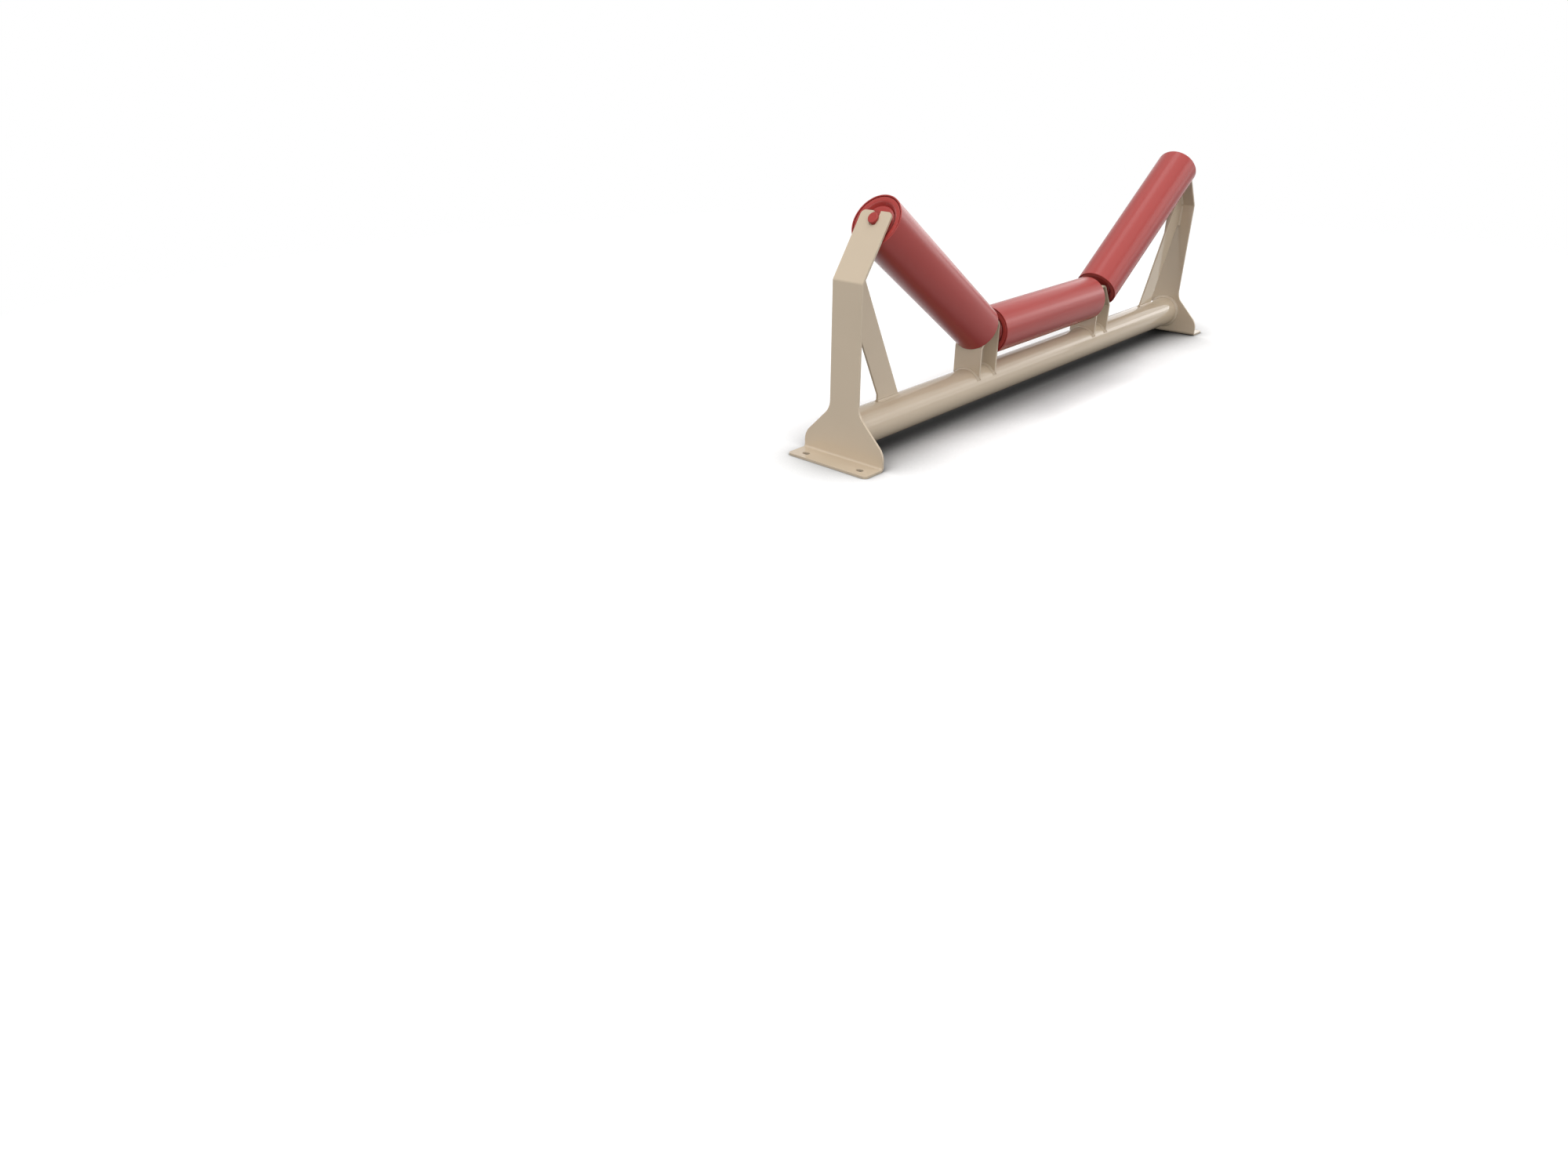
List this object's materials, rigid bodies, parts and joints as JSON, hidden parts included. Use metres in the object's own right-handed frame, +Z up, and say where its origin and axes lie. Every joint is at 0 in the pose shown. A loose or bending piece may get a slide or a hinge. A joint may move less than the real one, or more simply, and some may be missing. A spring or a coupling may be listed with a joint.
{
  "type": "troughing idler set",
  "caption": "Belt conveyor idler: a flat centre roller between raised wing rollers, carried on a welded frame with slotted feet.",
  "frame": {"origin": "on the ground under the middle of the cross pipe", "axes": "+X along the cross pipe, +Y along the belt's travel, +Z up"},
  "size_m": [1.5906, 0.206, 0.5002],
  "materials": {
    "frame_paint": "satin enamel",
    "roller_paint": "satin enamel",
    "bearing_steel": "ground",
    "ball_steel": "polished",
    "spring_steel": "blackened",
    "cage_plastic": "moulded",
    "seal_plastic": "moulded"
  },
  "bodies": {
    "frame": {"cross_pipe": "frame_paint", "left_end_bracket": "frame_paint", "right_end_bracket": "frame_paint", "left_brace": "frame_paint", "right_brace": "frame_paint", "left_inner_bracket": "frame_paint", "right_inner_bracket": "frame_paint", "pipe_end_welds": "frame_paint", "left_brace_welds": "frame_paint", "right_brace_welds": "frame_paint", "left_saddle_welds": "frame_paint", "right_saddle_welds": "frame_paint", "left_wing_shaft": "roller_paint", "left_wing_inner_races": "bearing_steel", "left_wing_end_covers": "roller_paint", "left_wing_circlips": "spring_steel", "centre_shaft": "roller_paint", "centre_inner_races": "bearing_steel", "centre_end_covers": "roller_paint", "centre_circlips": "spring_steel", "right_wing_shaft": "roller_paint", "right_wing_inner_races": "bearing_steel", "right_wing_end_covers": "roller_paint", "right_wing_circlips": "spring_steel"},
    "left_wing_roller": {"left_wing_tube": "roller_paint", "left_wing_bearing_housings": "roller_paint", "left_wing_outer_races": "bearing_steel", "left_wing_balls": "ball_steel", "left_wing_ball_cages": "cage_plastic", "left_wing_turning_seals": "seal_plastic"},
    "centre_roller": {"centre_tube": "roller_paint", "centre_bearing_housings": "roller_paint", "centre_outer_races": "bearing_steel", "centre_balls": "ball_steel", "centre_ball_cages": "cage_plastic", "centre_turning_seals": "seal_plastic"},
    "right_wing_roller": {"right_wing_tube": "roller_paint", "right_wing_bearing_housings": "roller_paint", "right_wing_outer_races": "bearing_steel", "right_wing_balls": "ball_steel", "right_wing_ball_cages": "cage_plastic", "right_wing_turning_seals": "seal_plastic"}
  },
  "joints": [
    {"name": "left_wing_spin", "type": "hinge", "parent": "frame", "child": "left_wing_roller", "pos_m": [-0.2815, 0, 0.1895], "axis": [-0.8192, 0, 0.5736], "continuous": true},
    {"name": "centre_spin", "type": "hinge", "parent": "frame", "child": "centre_roller", "pos_m": [0, 0, 0.173], "axis": [1, 0, 0], "continuous": true},
    {"name": "right_wing_spin", "type": "hinge", "parent": "frame", "child": "right_wing_roller", "pos_m": [0.2815, 0, 0.1895], "axis": [0.8192, 0, 0.5736], "continuous": true}
  ]
}
